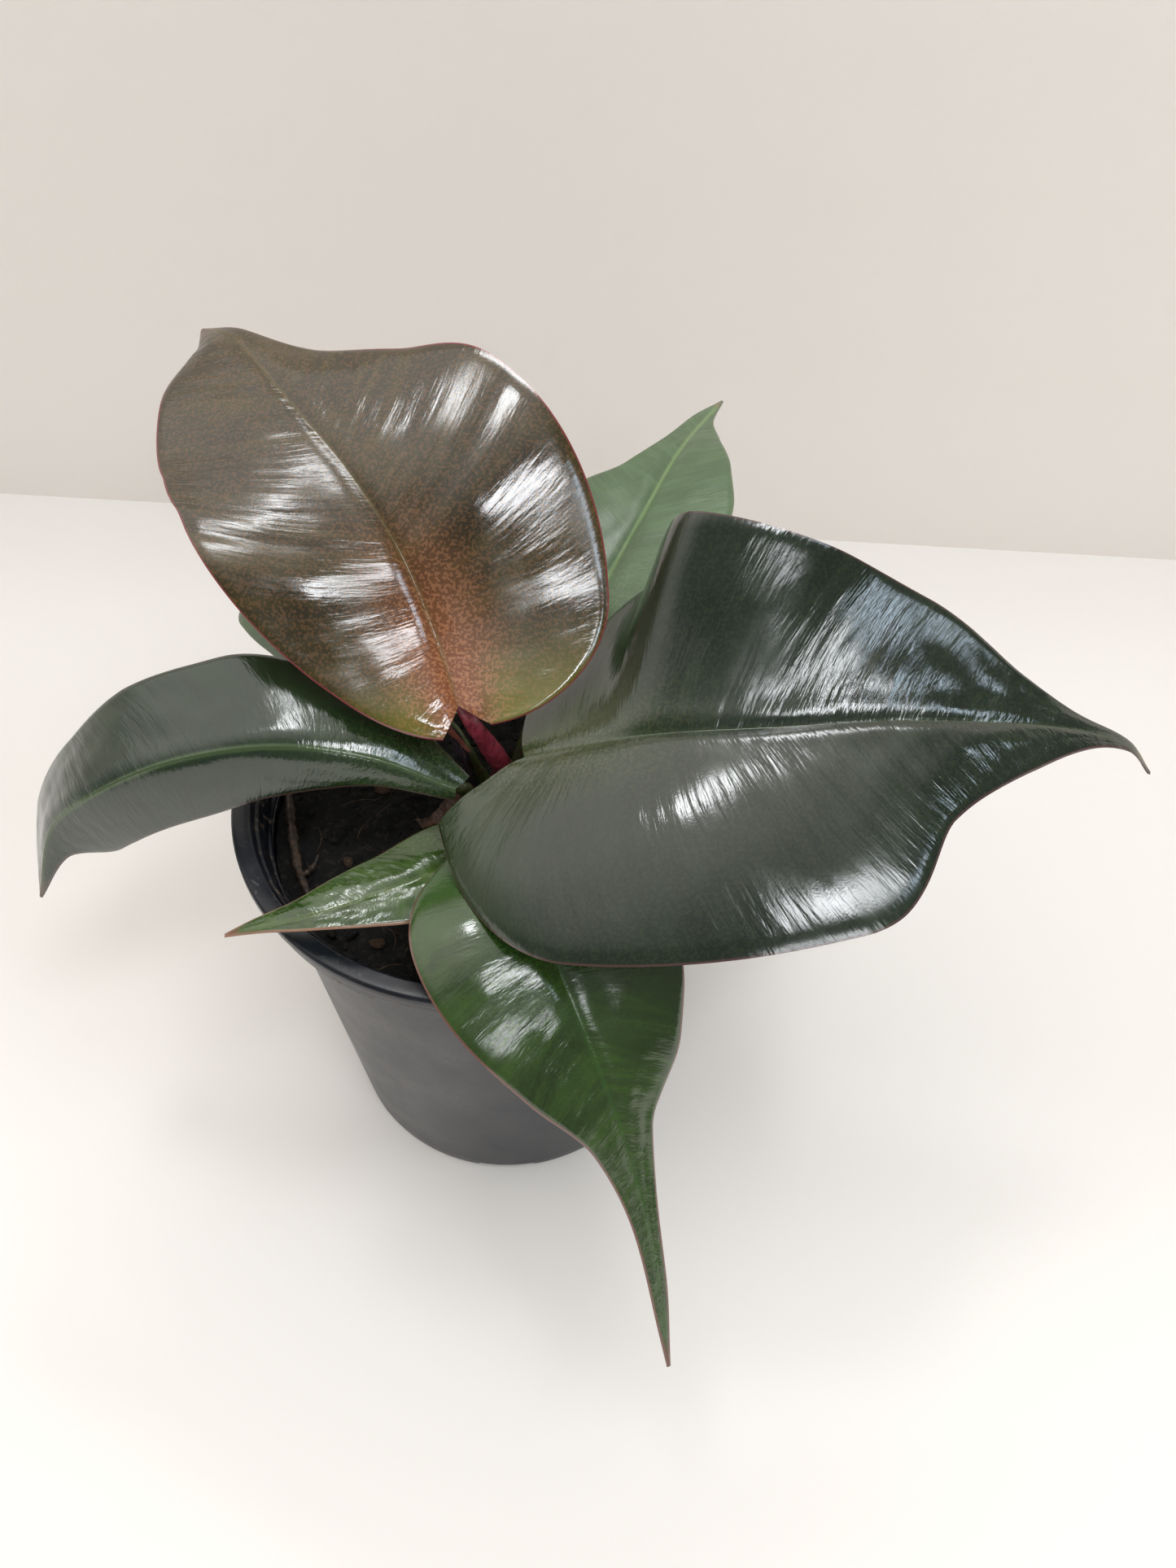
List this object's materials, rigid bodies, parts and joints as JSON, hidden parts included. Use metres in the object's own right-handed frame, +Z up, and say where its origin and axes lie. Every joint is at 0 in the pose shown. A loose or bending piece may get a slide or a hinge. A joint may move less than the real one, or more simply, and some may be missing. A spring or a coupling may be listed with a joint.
{
  "type": "potted philodendron",
  "caption": "Young philodendron with glossy heart-shaped leaves in a round black plastic nursery pot filled with peat.",
  "frame": {"origin": "middle of the pot's foot, on the flat face that the pot stands on", "axes": "+Z up along the pot's axis; +Y to the back of the plant; +X to its right, where the large dark leaf points"},
  "size_m": [0.2763, 0.2518, 0.2098],
  "materials": {
    "pot_plastic": "satin black, lightly scuffed",
    "peat": "matte, fibrous, damp",
    "stem_skin": "satin",
    "bronze_leaf": "glossy young leaf, bronze and olive",
    "dark_leaf": "glossy mature leaf, very dark green",
    "fresh_leaf": "glossy leaf, mid green",
    "back_leaf": "satin leaf, grey green",
    "crimson_stalk": "glossy, crimson pink",
    "green_stalk": "satin, olive green",
    "pink_sheath": "thin, pinkish brown",
    "dark_sheath": "thin, dark purple brown",
    "dry_fibre": "dry and papery, brown",
    "dry_wood": "dry bark, matte"
  },
  "bodies": {
    "root": {"pot": "pot_plastic", "soil": "peat", "stem": "stem_skin", "young_leaf_blade": "bronze_leaf", "young_leaf_petiole": "crimson_stalk", "right_leaf_blade": "dark_leaf", "right_leaf_petiole": "green_stalk", "left_leaf_blade": "dark_leaf", "left_leaf_petiole": "green_stalk", "small_leaf_blade": "fresh_leaf", "small_leaf_petiole": "green_stalk", "front_leaf_blade": "fresh_leaf", "front_leaf_petiole": "green_stalk", "back_leaf_blade": "back_leaf", "back_leaf_petiole": "green_stalk", "rear_leaf_blade": "fresh_leaf", "rear_leaf_petiole": "green_stalk", "dark_sheath": "dark_sheath", "young_leaf_sheath": "pink_sheath", "old_sheath": "dry_fibre", "twig": "dry_wood", "twig_sprig": "dry_wood", "bark_chip_1": "dry_wood", "bark_chip_2": "dry_wood", "bark_chip_3": "dry_wood", "bark_chip_4": "dry_wood", "bark_chip_5": "dry_wood"}
  },
  "joints": []
}
